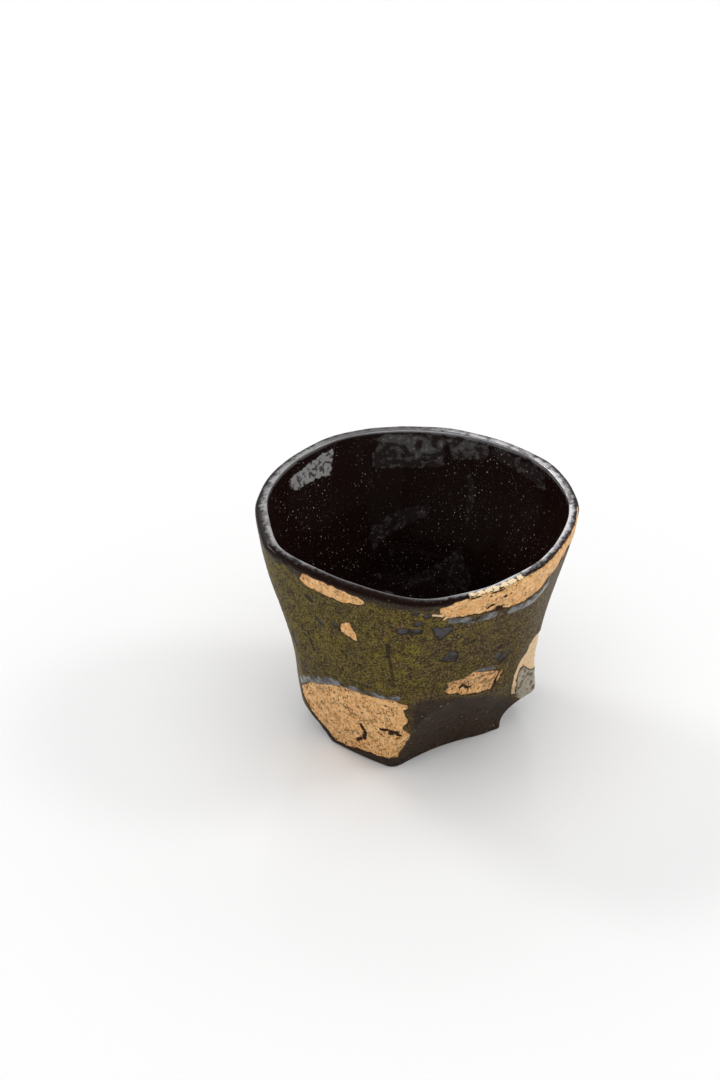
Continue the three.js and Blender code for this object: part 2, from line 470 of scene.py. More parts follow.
class StageSetup(PropertyGroup):
    """The floor, the light and the camera."""

    floor_size: length("Floor size", "Width of the floor", 6.0)
    floor_colour: colour("Floor", "Plain pale floor", (0.92, 0.92, 0.92))
    horizon: colour("Horizon", "Even light from near the horizon", (0.88, 0.88, 0.88))
    ceiling: colour("Ceiling", "Even light from overhead", (0.07, 0.07, 0.07))
    backdrop: FloatProperty(
        name="Backdrop", description="How many times brighter the sky is behind the cup", default=2.1)
    light_power: FloatProperty(
        name="Lights", description="Watts that each lamp has a share of", default=102.0)
    camera_place: FloatVectorProperty(
        name="Camera", description="Place of the camera", subtype="TRANSLATION",
        default=(0.00009, -0.66271, 0.51535), unit="LENGTH")
    camera_pitch: FloatProperty(
        name="Pitch", description="How far the camera looks down", subtype="ANGLE",
        default=math.radians(34.59))
    camera_yaw: FloatProperty(
        name="Yaw", description="How far the camera turns left", subtype="ANGLE",
        default=math.radians(1.342))
    lens: FloatProperty(name="Lens", description="Focal length in millimetres", default=98.67)


# Repeatable noise and distances on whole arrays

def lattice_value(corner, seed):
    """A repeatable value from 0 to 1 for each whole-number point, by mixing its coordinates' bits."""
    mixed = (corner * np.array(AXIS_MIXERS)).sum(axis=-1) + seed * BIT_MIXER
    mixed = mixed & LOW_32_BITS
    mixed = ((mixed ^ (mixed >> 13)) * BIT_MIXER) & LOW_32_BITS
    return ((mixed ^ (mixed >> 16)) & LOW_16_BITS) / LOW_16_BITS


def soft_noise(points, grain, seed):
    """Value noise from -1 to 1: the values of the eight lattice corners round a point, a grain apart,
    blended by a smooth step along each axis."""
    scaled = points / grain
    base = np.floor(scaled).astype(np.int64)
    step = scaled - base
    step = step * step * (3 - 2 * step)
    total = np.zeros(points.shape[:-1])
    for offset in product((0, 1), repeat=3):
        offset = np.array(offset)
        weight = np.where(offset == 1, step, 1 - step).prod(axis=-1)
        total += weight * lattice_value(base + offset, seed)
    return 2 * total - 1


def smooth_step(low, high, value):
    """0 below low, 1 above high, and a smooth S between them."""
    t = np.clip((value - low) / (high - low), 0, 1)
    return t * t * (3 - 2 * t)


def turn_from(azimuth, middle):
    """Degrees from a middle azimuth, from -180 to 180."""
    return (azimuth - middle + 180) % 360 - 180


def segment_distance(x, y, start, end):
    """Distance of each point from a straight segment: the gap to its nearest point along the segment."""
    dx = end[0] - start[0]
    dy = end[1] - start[1]
    along = np.clip(((x - start[0]) * dx + (y - start[1]) * dy) / (dx * dx + dy * dy), 0, 1)
    return np.hypot(x - start[0] - along * dx, y - start[1] - along * dy)


def outline_depth(azimuth, climb, outline):
    """Millimetres inside a closed outline, negative outside: the distance to the nearest edge, with the
    sign from how many edges a line to the right crosses."""
    points = np.array(outline, float)
    middle = points[:, 0].mean()
    points[:, 0] = np.radians(points[:, 0] - middle) * MEAN_RADIUS
    x = np.radians(turn_from(azimuth, middle)) * MEAN_RADIUS
    nearest = np.full(azimuth.shape, FAR_OUT)
    inside = np.zeros(azimuth.shape, bool)
    for start, end in zip(points, np.roll(points, -1, axis=0)):
        nearest = np.minimum(nearest, segment_distance(x, climb, start, end))
        straddles = (start[1] > climb) != (end[1] > climb)
        if start[1] != end[1]:
            crossing = start[0] + (climb - start[1]) * (end[0] - start[0]) / (end[1] - start[1])
            inside ^= straddles & (x < crossing)
    return np.where(inside, nearest, -nearest)


# The carved surface, in millimetres

class Surface(NamedTuple):
    """Arrays of one value for each row and column: place, climb, and how deep the foot is cut."""

    azimuth: np.ndarray
    radius: np.ndarray
    height: np.ndarray
    climb: np.ndarray
    scoop: np.ndarray


def in_millimetres(group):
    """The lengths of a group of settings, in millimetres, by name."""
    return SimpleNamespace(**{name: getattr(group, name) / MM for name in type(group).__annotations__})


def blank_radius(size, z):
    """Radius of the turned blank: it falls away from the belly to the foot by a power of the drop, and
    flares from the belly to the lip by a power of the rise."""
    drop = 1 - np.clip(z / size.belly_height, 0, 1)
    rise = np.clip((z - size.belly_height) / (size.height - size.belly_height), 0, 1)
    foot = (size.belly_radius - size.foot_radius) * drop ** FOOT_ROUNDING
    flare = (size.lip_radius - size.belly_radius) * rise ** FLARE_ROUNDING
    return size.belly_radius - foot + flare


def cut_radius(cut, azimuth, z):
    """Radius at which a cut's sheet meets the ray of an azimuth: the near root of the quadratic for a
    parabola at the cut's reach. Where the ray misses the sheet, the radius is far out."""
    above = z - cut.at
    reach = cut.reach + cut.lean * above + 0.5 * cut.sweep * above ** 2
    turn = np.radians(azimuth - cut.facing)
    along = np.cos(turn)
    root = along ** 2 - 2 * cut.hollow * np.sin(turn) ** 2 * reach
    meets = (along >= LEAST_FACING) & (root >= 0)
    met = 2 * reach / np.where(meets, along + np.sqrt(np.maximum(root, 0)), 1)
    return np.where(meets, met, FAR_OUT)


def soft_minimum(a, b, width):
    """The smaller of two radii, with the corner between them rounded over a width."""
    overlap = np.maximum(width - np.abs(a - b), 0) / width
    return np.minimum(a, b) - overlap ** 2 * width / 4


def pared_radius(size, cuts, azimuth, z, least_soft=0):
    """Radius of the blank pared by cuts in order, with edges softened over at least the given width."""
    radius = blank_radius(size, z) + 0 * azimuth
    for cut in cuts:
        radius = soft_minimum(radius, cut_radius(cut, azimuth, z), np.maximum(cut.soft, least_soft))
    return radius


def hollow_radius(size, azimuth, z):
    """Radius of the hollow: the carved wall less its thickness, closing as a quarter round to the floor."""
    above = z - size.floor_thickness
    rise = above / (size.height - size.floor_thickness)
    wall = size.wall_at_foot + (size.wall_at_lip - size.wall_at_foot) * rise
    softness = SOFTNESS_AT_FOOT + (SOFTNESS_AT_LIP - SOFTNESS_AT_FOOT) * rise
    bowl = 1 - np.clip(above / size.bowl_round, 0, 1)
    carved = pared_radius(size, ALL_CUTS, azimuth, z, softness)
    return (carved - wall) * np.sqrt(1 - bowl ** 2)


def carved_surface(size):
    """The whole cup as rows of rings, from the underside, up the wall, over the lip and down the hollow.

    The underside is flat, its edge a quarter circle, the wall the pared blank, the lip half a squared
    ellipse between wall and hollow, and the hollow's rows are spaced as a sine, so they crowd at its floor.
    """
    azimuth = np.arange(COLUMNS)[None, :] * (360 / COLUMNS)
    lip_start = size.height - size.lip_round
    backness = (1 + np.sin(np.radians(azimuth))) / 2
    wall_top = lip_start - size.lip_drop * (1 - backness)
    hollow_top = lip_start + size.lip_rise * backness
    bevel = size.foot_bevel
    foot = pared_radius(size, ALL_CUTS, azimuth, bevel)

    part = np.arange(1, UNDERSIDE_ROWS + 1)[:, None] / UNDERSIDE_ROWS
    under = part * (foot - bevel), 0 * part + 0 * foot, (part - 1) * foot

    turn = np.arange(1, BEVEL_ROWS + 1)[:, None] / BEVEL_ROWS * math.pi / 2
    z = bevel * (1 - np.cos(turn)) + 0 * azimuth
    edge = foot - bevel * (1 - np.sin(turn)), z, z

    z = bevel + (wall_top - bevel) * np.arange(1, WALL_ROWS + 1)[:, None] / WALL_ROWS
    wall = pared_radius(size, ALL_CUTS, azimuth, z), z, z

    part = np.arange(1, LIP_ROWS)[:, None] / LIP_ROWS
    outside = pared_radius(size, ALL_CUTS, azimuth, wall_top)
    inside = hollow_radius(size, azimuth, hollow_top)
    along = np.cos(math.pi * part)
    along = np.sign(along) * np.abs(along) ** LIP_SQUARENESS
    radius = (outside + inside) / 2 + along * (outside - inside) / 2
    bulge = size.lip_round * np.sin(math.pi * part) ** LIP_SQUARENESS
    z = wall_top + (hollow_top - wall_top) * part + bulge
    lip = radius, z, wall_top + (lip_start + LIP_ARC - wall_top) * part

    fall = np.sin(np.arange(HOLLOW_ROWS)[:, None] / HOLLOW_ROWS * math.pi / 2)
    z = hollow_top + (size.floor_thickness - hollow_top) * fall
    hollow = hollow_radius(size, azimuth, z), z, lip_start + LIP_ARC + hollow_top - z

    radius, height, climb = (np.concatenate(rows) for rows in zip(under, edge, wall, lip, hollow))
    azimuth = azimuth + 0 * radius
    before_foot = pared_radius(size, FACETS.values(), azimuth, height)
    outside = (climb >= 0) & (climb <= wall_top)
    scoop = np.where(outside, before_foot - radius, 0)
    return Surface(azimuth, radius, height, climb, scoop)


# Relief and the masks that the finish reads

class Ripple(NamedTuple):
    """A layer of noise in the relief: its height and its grain in millimetres, and its seed."""

    height: float
    grain: float
    seed: int

    def over(self, points):
        """The noise at each point, from minus the height to plus the height."""
        return self.height * soft_noise(points, self.grain, self.seed)


BROAD_WAVES = Ripple(0.11, 13, 1)
SHORT_WAVES = Ripple(0.05, 4.5, 2)
GOLD_EDGE = Ripple(0.5, 1.9, 3)
GOLD_FOLDS = Ripple(0.12, 2.6, 4)
GOLD_CREASES = Ripple(0.10, 1.2, 5)
ROLL_EDGE = Ripple(0.35, 2.2, 6)
KNIFE_STREAKS = Ripple(0.14, 2.6, 7)
# Real ripples under the painted reflections in the hollow
PATCH_RIPPLES = Ripple(0.20, 2.1, 8)
PATCH_PIMPLES = Ripple(0.09, 1.1, 9)
LIP_WOBBLE = Ripple(0.22, 8, 10)
BEAD_EDGE = Ripple(0.4, 0.9, 11)

# Heights and depths of the relief, in millimetres
GOLD_STEP = 0.28
CRACK_DEPTH = 0.25
PIT_DEPTH = 0.25
ROLL_HEIGHT = 0.2
BEAD_HEIGHT = 0.12

# Depths into a mask between which its relief comes in, and climb at which the underside's flat ends
GOLD_ONSET = (-0.25, 0.35)
CRACK_ONSET = (0, 0.6)
PIT_ONSET = (0, 0.4)
STREAK_ONSET = (0.2, 1.5)
RIPPLE_ONSET = (-0.5, 0.8)
FLAT_END = (0, 0.8)

# Knife streaks are squeezed in height, so that they run round the cup
STREAK_SQUEEZE = (1.0, 1.0, 2.2)


def patch_depth(surface, patches):
    """Millimetres inside the nearest patch, negative outside all of them, and that patch's strength."""
    depths = np.stack([outline_depth(surface.azimuth, surface.climb, patch.outline) for patch in patches])
    strengths = np.array([patch.strength for patch in patches])
    return depths.max(axis=0), strengths[depths.argmax(axis=0)]


def oval_depth(surface, ovals):
    """How far inside the nearest oval, from 1 at its middle to 0 at its edge and -1 well outside."""
    depth = np.full(surface.radius.shape, -1.0)
    for oval in ovals:
        x = np.radians(turn_from(surface.azimuth, oval.azimuth)) * MEAN_RADIUS
        y = surface.climb - oval.climb
        tilt = math.radians(oval.tilt)
        across = (x * math.cos(tilt) + y * math.sin(tilt)) / oval.half_width
        up = (y * math.cos(tilt) - x * math.sin(tilt)) / oval.half_height
        depth = np.maximum(depth, 1 - np.hypot(across, up))
    return depth


def stripe_depth(surface, stripes):
    """How far inside the nearest stripe, from 1 on its middle line to 0 at its edge and -1 outside."""
    depth = np.full(surface.radius.shape, -1.0)
    for stripe in stripes:
        middle = stripe.line[0][0]
        x = np.radians(turn_from(surface.azimuth, middle)) * MEAN_RADIUS
        line = [(math.radians(azimuth - middle) * MEAN_RADIUS, climb) for azimuth, climb in stripe.line]
        for start, end in zip(line, line[1:]):
            distance = segment_distance(x, surface.climb, start, end)
            depth = np.maximum(depth, 1 - distance / stripe.half_width)
    return depth


def surface_points(surface):
    """Places in millimetres from radius, azimuth and height."""
    angle = np.radians(surface.azimuth)
    x = surface.radius * np.cos(angle)
    y = surface.radius * np.sin(angle)
    return np.stack([x, y, surface.height], axis=-1)


def surface_normals(points):
    """Outward normals: the cross product of the steps round the ring and along the rows."""
    around = np.roll(points, -1, axis=1) - np.roll(points, 1, axis=1)
    along = np.gradient(points, axis=0)
    normal = np.cross(around, along)
    return normal / np.maximum(np.linalg.norm(normal, axis=-1, keepdims=True), LEAST_NORMAL)


def relief(surface, points, masks):
    """Millimetres that the surface stands out along its normal.

    It has waves in the glaze and a wobble along the lip, less a step down to the crumpled gold and its
    cracks, plus the rolled glaze edges and the lumps of gold, less the pits of the bare spots, plus knife
    streaks in the foot scoops and ripples under the painted reflections in the hollow. The flat underside
    stays flat.
    """
    climb = surface.climb
    waves = BROAD_WAVES.over(points) + SHORT_WAVES.over(points)
    on_gold = smooth_step(*GOLD_ONSET, masks["gold"] + GOLD_EDGE.over(points))
    crumple = GOLD_FOLDS.over(points) + GOLD_CREASES.over(points)
    cracks = CRACK_DEPTH * smooth_step(*CRACK_ONSET, masks["crack"])
    lump = np.clip(masks["roll"] + ROLL_EDGE.over(points), 0, 1)
    pits = PIT_DEPTH * smooth_step(*PIT_ONSET, masks["bare"])
    streaks = KNIFE_STREAKS.over(points * np.array(STREAK_SQUEEZE))
    streaks = streaks * smooth_step(*STREAK_ONSET, surface.scoop)
    # Ripples under the painted reflection patches in the hollow
    rippled = smooth_step(*RIPPLE_ONSET, masks["painted_reflection"]) * smooth_step(*RIPPLE_START, climb)
    ripple = (PATCH_RIPPLES.over(points) + PATCH_PIMPLES.over(points)) * rippled
    near_lip = smooth_step(*WOBBLE_START, climb) * smooth_step(*WOBBLE_END, climb)
    wobble = LIP_WOBBLE.over(points) * near_lip
    beads = BEAD_HEIGHT * np.sqrt(np.clip(masks["glint"] + BEAD_EDGE.over(points), 0, 1))
    gold = on_gold * (crumple - GOLD_STEP - cracks)
    rolls = ROLL_HEIGHT * np.sqrt(lump) * (1 - on_gold)
    total = waves + wobble + gold + rolls + beads - pits + streaks + ripple
    return total * smooth_step(*FLAT_END, climb)


def cup_masks(surface):
    """Values by name that the relief and the finish read at each point of the surface."""
    gold, wear = patch_depth(surface, GOLD_PATCHES.values())
    # Painted reflection patches and how strong each is
    painted_reflection, reflection = patch_depth(surface, REFLECTION_PATCHES.values())
    dark_foot = outline_depth(surface.azimuth, surface.climb, DARK_FOOT)
    bare = [outline_depth(surface.azimuth, surface.climb, outline) for outline in BARE_OUTLINES.values()]
    return {
        "climb": surface.climb,
        "foot": np.maximum(surface.scoop - LEAST_SCOOP, dark_foot),
        "run": stripe_depth(surface, BROWN_RUNS),
        "gold": gold,
        "glint": oval_depth(surface, GOLD_LUMPS),
        "wear": wear,
        "crack": stripe_depth(surface, GOLD_CRACKS),
        "roll": stripe_depth(surface, GLAZE_ROLLS),
        "bare": np.maximum(oval_depth(surface, BARE_SPOTS), np.max(bare, axis=0) / BARE_SLOPE),
        "painted_reflection": painted_reflection,
        "reflection": reflection,
    }


def ring_faces(rows):
    """Four-sided faces between the rings, and triangles round the two middle points after the rings."""
    ring = np.arange(COLUMNS)
    following = np.roll(ring, -1)
    row = np.arange(rows - 1)[:, None] * COLUMNS
    above = row + COLUMNS
    quads = np.stack([row + ring, row + following, above + following, above + ring], axis=-1)
    last = (rows - 1) * COLUMNS
    bottom = np.stack([following, ring, np.full(COLUMNS, rows * COLUMNS)], axis=-1)
    top = np.stack([last + ring, last + following, np.full(COLUMNS, rows * COLUMNS + 1)], axis=-1)
    return quads.reshape(-1, 4).tolist() + bottom.tolist() + top.tolist()


def cup_mesh(size):
    """The cup's closed mesh in metres: the carved surface and its relief, with a middle point on the
    underside and one on the floor of the hollow. The carved surface is centred on the cup's box."""
    surface = carved_surface(size)
    masks = cup_masks(surface)
    points = surface_points(surface)
    middle = (points.min(axis=(0, 1)) + points.max(axis=(0, 1))) / 2
    points = points + surface_normals(points) * relief(surface, points, masks)[..., None]

    ends = np.array([[0, 0, points[0, :, 2].mean()], [0, 0, points[-1, :, 2].mean()]])
    vertices = np.concatenate([points.reshape(-1, 3), ends])
    frame_middle = (np.array(CUP_LOW) + np.array(CUP_HIGH)) / 2
    vertices[:, :2] -= middle[:2]
    vertices = vertices * MM
    vertices[:, :2] += frame_middle[:2]

    mesh = bpy.data.meshes.new("carved_cup")
    mesh.from_pydata(vertices, [], ring_faces(points.shape[0]))
    for name, values in masks.items():
        attribute = mesh.attributes.new(name, "FLOAT", "POINT")
        padded = np.concatenate([values.ravel(), values[0, :1], values[-1, :1]])
        attribute.data.foreach_set("value", padded.astype(np.float32))
    mesh.shade_smooth()
    mesh.validate()
    return mesh


# Finish

class Board:
    """Adds nodes to a tree in columns. A value that is a socket is linked, any other is set."""

    def __init__(self, tree):
        self.tree = tree
        self.count = 0

    def add(self, kind, inputs=None, **settings):
        """A new node with its settings and its inputs."""
        node = self.tree.nodes.new(kind)
        column, row = divmod(self.count, NODES_PER_COLUMN)
        node.location = (NODE_SPACING[0] * column, -NODE_SPACING[1] * row)
        self.count += 1
        for name, value in settings.items():
            setattr(node, name, value)
        for key, value in (inputs or {}).items():
            self.put(node.inputs[key], value)
        return node

    def put(self, socket, value):
        """Links a socket to an input, or sets the input's own value."""
        if isinstance(value, bpy.types.NodeSocket):
            self.tree.links.new(value, socket)
        else:
            socket.default_value = value

    def math(self, operation, *values):
        """One step of arithmetic."""
        return self.add("ShaderNodeMath", dict(enumerate(values)), operation=operation).outputs[0]

    def times(self, value, factor):
        """A value times a factor."""
        return self.math("MULTIPLY", value, factor)

    def ramp(self, value, slope, start):
        """A straight line: the start plus the slope times the value."""
        return self.math("MULTIPLY_ADD", value, slope, start)

    def step(self, value, none, full):
        """A smooth step from 0 where the value is at none to 1 where it is at full."""
        inputs = {"Value": value, "From Min": none, "From Max": full}
        return self.add("ShaderNodeMapRange", inputs, interpolation_type="SMOOTHSTEP").outputs[0]

    def mask(self, value, none, full, strength):
        """A smooth step that ends at a strength instead of 1."""
        return self.times(self.step(value, none, full), strength)

    def blend(self, factor, first, second):
        """Two colours mixed by a factor. A Mix node has its colours at sockets 6 and 7."""
        return self.add("ShaderNodeMix", {0: factor, 6: first, 7: second}, data_type="RGBA").outputs[2]

    def mix_value(self, factor, first, second):
        """Two values mixed by a factor. A Mix node has its values at sockets 2 and 3."""
        return self.add("ShaderNodeMix", {0: factor, 2: first, 3: second}, data_type="FLOAT").outputs[0]

    def noise(self, vector, grain, detail=3, roughness=0.55):
        """Noise from 0 to 1 with a grain in the vector's own units."""
        inputs = {"Vector": vector, "Scale": 1 / grain, "Detail": detail, "Roughness": roughness}
        return self.add("ShaderNodeTexNoise", inputs).outputs[0]

    def attribute(self, name):
        """A value that the mesh carries at each point."""
        return self.add("ShaderNodeAttribute", attribute_name=name).outputs["Fac"]

    def use(self, group, **inputs):
        """A node group's outputs, with its inputs given by their names in lower case."""
        node = self.add("ShaderNodeGroup", node_tree=group)
        for name, value in inputs.items():
            self.put(node.inputs[name.capitalize()], value)
        return node.outputs


def rgba(setting):
    """A colour setting with full cover."""
    return (*setting, 1.0)


def new_group(name, inputs, outputs):
    """A shader node group with named sockets, its board, and its input and output nodes."""
    tree = bpy.data.node_groups.new(name, "ShaderNodeTree")
    for socket, kind in inputs.items():
        tree.interface.new_socket(socket, in_out="INPUT", socket_type=kind)
    for socket, kind in outputs.items():
        tree.interface.new_socket(socket, in_out="OUTPUT", socket_type=kind)
    board = Board(tree)
    entry = board.add("NodeGroupInput")
    leave = board.add("NodeGroupOutput")
    return tree, board, entry.outputs, leave.inputs


def ragged_edge_group():
    """A mask with a torn edge: a depth is shifted by noise and then cut off softly at zero."""
    inputs = {"Place": VECTOR, "Depth": FLOAT, "Grain": FLOAT, "Tear": FLOAT, "Softness": FLOAT}
    tree, board, given, leave = new_group("ragged_edge", inputs, {"Mask": FLOAT})
    scale = board.math("DIVIDE", 1.0, given["Grain"])
    noise = board.add("ShaderNodeTexNoise", {
        "Vector": given["Place"], "Scale": scale, "Detail": 4.0, "Roughness": 0.6})
    shift = board.times(board.math("SUBTRACT", noise.outputs[0], NOISE_MIDDLE), given["Tear"])
    depth = board.math("ADD", given["Depth"], shift)
    low = board.times(given["Softness"], -1.0)
    board.put(leave["Mask"], board.step(depth, low, given["Softness"]))
    return tree


def specks_group():
    """A mask of scattered round specks: in some of the cells of a lattice, the middle of the cell."""
    inputs = {"Place": VECTOR, "Spacing": FLOAT, "Size": FLOAT, "Share": FLOAT}
    tree, board, given, leave = new_group("scattered_specks", inputs, {"Mask": FLOAT})
    scale = board.math("DIVIDE", 1.0, given["Spacing"])
    cells = board.add("ShaderNodeTexVoronoi", {"Vector": given["Place"], "Scale": scale})
    draw = board.add("ShaderNodeSeparateColor", {0: cells.outputs["Color"]})
    chosen = board.math("LESS_THAN", draw.outputs[0], given["Share"])
    size = board.times(given["Size"], board.math("ADD", draw.outputs[1], 0.5))
    beyond = board.step(cells.outputs["Distance"], board.times(size, 0.5), size)
    dot = board.math("SUBTRACT", 1.0, beyond)
    board.put(leave["Mask"], board.times(dot, chosen))
    return tree


class GlazeBoard(Board):
    """A board for the cup's finish, with places on the cup in millimetres, its colours and its masks."""

    def __init__(self, tree, finish):
        super().__init__(tree)
        self.colours = {name: rgba(getattr(finish, name)) for name in type(finish).__annotations__}
        self.edge_group = ragged_edge_group()
        self.speck_group = specks_group()
        coordinates = self.add("ShaderNodeTexCoord")
        inputs = {0: coordinates.outputs["Object"], "Scale": 1 / MM}
        self.place = self.add("ShaderNodeVectorMath", inputs, operation="SCALE").outputs[0]

    def clouds(self, grain, detail=3, roughness=0.55):
        """Noise over the cup, with its grain in millimetres."""
        return self.noise(self.place, grain, detail, roughness)

    def torn(self, depth, **edge):
        """A mask of where a depth is above zero, with an edge torn by a grain, a tear and a softness."""
        return self.use(self.edge_group, place=self.place, depth=depth, **edge)["Mask"]

    def specks(self, **scatter):
        """A mask of specks scattered by a spacing, a size and the share of places that have one."""
        return self.use(self.speck_group, place=self.place, **scatter)["Mask"]


class Skin:
    """The layers of the cup's finish as they build up: colour, roughness, metal, coat and height in mm."""

    def __init__(self, board, colour, roughness, height):
        self.board = board
        self.colour = colour
        self.roughness = roughness
        self.height = height
        self.metal = 0.0
        self.coat = 0.0

    def lay(self, mask, colour, roughness, height=0.0, metal=0.0, coat=0.0):
        """Covers the skin with another finish where the mask is 1."""
        board = self.board
        self.colour = board.blend(mask, self.colour, colour)
        self.roughness = board.mix_value(mask, self.roughness, roughness)
        self.height = board.mix_value(mask, self.height, height)
        self.metal = board.mix_value(mask, self.metal, metal)
        self.coat = board.mix_value(mask, self.coat, coat)

    def tint(self, mask, colour):
        """Changes only the colour where the mask is 1."""
        self.colour = self.board.blend(mask, self.colour, colour)


def cup_material(finish):
    """The cup's finish: mossy glaze outside, dark glaze over the lip and inside, a brown foot, and gold."""
    material = bpy.data.materials.new("mossy_glaze_and_gold")
    material.use_nodes = True
    material.node_tree.nodes.clear()
    board = GlazeBoard(material.node_tree, finish)
    grain = board.clouds(GLAZE_GRAIN, detail=3, roughness=0.65)
    blotch = board.clouds(GLAZE_BLOTCH, detail=4)

    skin = mossy_glaze(board, grain, blotch)
    scooped_foot(skin, grain)
    dark_glaze(skin, blotch)
    painted_reflection_patches(skin)
    crawled_glaze(skin, blotch)
    gold_leaf(skin)

    bump = board.add("ShaderNodeBump", {"Height": skin.height, "Strength": 1.0, "Distance": MM})
    shader = board.add("ShaderNodeBsdfPrincipled", {
        "Base Color": skin.colour, "Roughness": skin.roughness, "Metallic": skin.metal,
        "Specular IOR Level": 0.02, "Coat Weight": skin.coat, "Coat Roughness": 0.06, "Coat IOR": 1.7,
        "Normal": bump.outputs[0], "Coat Normal": bump.outputs[0]})
    board.add("ShaderNodeOutputMaterial", {"Surface": shader.outputs[0]})
    return material


def mossy_glaze(board, grain, blotch):
    """Outside glaze: moss and bark in broad clouds, browner to the right, with clusters of lichen, tan
    flecks that are partly painted glints, a dark grain, dark pits and a few brown runs."""
    paint = board.colours
    clouds = board.clouds(grain=8)
    right = board.add("ShaderNodeSeparateXYZ", {0: board.place}).outputs[0]
    brown = board.step(board.ramp(right, slope=0.006, start=clouds), none=0.40, full=0.66)
    colour = board.blend(brown, paint["moss"], paint["bark"])
    cluster = board.step(blotch, none=0.53, full=0.64)
    green = board.times(cluster, board.ramp(brown, slope=-0.5, start=0.65))
    colour = board.blend(green, colour, paint["lichen"])
    dim = board.mask(blotch, none=0.47, full=0.35, strength=0.55)
    colour = board.blend(dim, colour, paint["umber"])
    # Tan flecks: partly the glaze's grain, partly painted glints
    fleck_colour = board.blend(cluster, paint["tan"], paint["lichen"])
    fleck = board.mask(grain, none=0.54, full=0.62, strength=0.68)
    colour = board.blend(fleck, colour, fleck_colour)
    dark_grain = board.mask(grain, none=0.475, full=0.40, strength=0.90)
    colour = board.blend(dark_grain, colour, paint["umber"])
    pits = board.specks(spacing=1.5, size=0.34, share=0.30)
    colour = board.blend(board.times(pits, 0.8), colour, paint["umber"])
    run = board.attribute("run")
    run = board.ramp(board.math("SUBTRACT", blotch, NOISE_MIDDLE), slope=2.0, start=run)
    run = board.mask(run, none=-0.1, full=0.4, strength=0.75)
    colour = board.blend(run, colour, paint["umber"])
    height = board.times(grain, 0.16)
    height = board.ramp(blotch, slope=0.30, start=height)
    height = board.ramp(pits, slope=-0.08, start=height)
    roughness = board.mix_value(grain, 0.30, 0.55)
    return Skin(board, colour, roughness, height)


def scooped_foot(skin, grain):
    """Scooped foot: thin purple-brown glaze with a fine dark grain and a few pale specks as painted glints.
    """
    board = skin.board
    paint = board.colours
    foot = board.torn(board.attribute("foot"), grain=3.0, tear=3.4, softness=2.0)
    streaks = board.clouds(grain=3.5, detail=4)
    colour = board.blend(board.step(grain, none=0.40, full=0.56), paint["umber"], paint["scoop"])
    dark = board.mask(streaks, none=0.50, full=0.36, strength=0.7)
    colour = board.blend(dark, colour, paint["umber"])
    # Painted glints: pale specks scattered over the foot
    painted_glints = board.specks(spacing=1.0, size=0.2, share=0.25)
    colour = board.blend(board.times(painted_glints, 0.5), colour, paint["speck"])
    skin.lay(foot, colour, roughness=0.40, height=board.times(grain, 0.10), coat=0.13)


def dark_glaze(skin, blotch):
    """Dark glaze over the lip and inside: near black with pale pinholes under a clear coat, a brown stain
    below the lip, and a painted highlight in bright metal along the top of the lip and its inner edge."""
    board = skin.board
    paint = board.colours
    depth = board.math("SUBTRACT", board.attribute("climb"), STAIN_START)
    stain = board.torn(depth, grain=4.5, tear=6.0, softness=0.8)
    skin.tint(board.times(stain, 0.75), paint["stain"])
    depth = board.math("SUBTRACT", depth, STAIN_WIDTH)
    dark = board.torn(depth, grain=2.2, tear=2.4, softness=0.25)

    fine = board.specks(spacing=0.48, size=0.17, share=0.60)
    coarse = board.specks(spacing=1.0, size=0.16, share=0.60)
    climb = board.attribute("climb")
    inside = board.step(climb, *HOLLOW_START)
    pale_specks = board.math("MAXIMUM", board.times(fine, 0.55), coarse)
    pale_specks = board.times(pale_specks, board.ramp(inside, slope=0.6, start=0.2))
    drift = board.step(board.clouds(grain=14, detail=2), none=0.40, full=0.60)
    pale_specks = board.times(pale_specks, board.mix_value(drift, 0.3, 1.0))
    colour = board.blend(pale_specks, paint["tenmoku"], paint["speck"])
    height = board.ramp(pale_specks, slope=0.03, start=board.times(blotch, 0.03))
    top = board.torn(board.math("SUBTRACT", climb, LIP_TOP), grain=1.6, tear=2.4, softness=0.5)
    gloss = board.ramp(top, slope=0.85, start=0.15)
    gloss = board.math("SUBTRACT", gloss, board.times(inside, 0.55))
    skin.lay(dark, colour, roughness=0.30, height=height, coat=gloss)

    # Painted highlight on the lip: bright metal along its crest, strongest on the right, weaker on the
    # left, and a thin line on its inner edge
    across = board.add("ShaderNodeSeparateXYZ", {0: board.place}).outputs[0]
    highlight_share = board.ramp(board.step(across, *SHEEN_RIGHT), slope=0.75, start=0.05)
    highlight_share = board.ramp(board.step(across, *SHEEN_LEFT), slope=0.30, start=highlight_share)
    highlight_share = board.times(highlight_share, board.step(board.clouds(grain=3.0, detail=4), none=0.32, full=0.50))
    inner_edge = board.times(board.step(climb, *INNER_EDGE_START), board.step(climb, *INNER_EDGE_END))
    highlight_share = board.math("MAXIMUM", highlight_share, board.times(inner_edge, 0.7))
    crest = board.times(top, board.step(climb, *CREST_END))
    sheen = board.times(crest, highlight_share)
    skin.lay(sheen, paint["sheen"], roughness=0.22, height=skin.height, metal=1.0, coat=1.0)


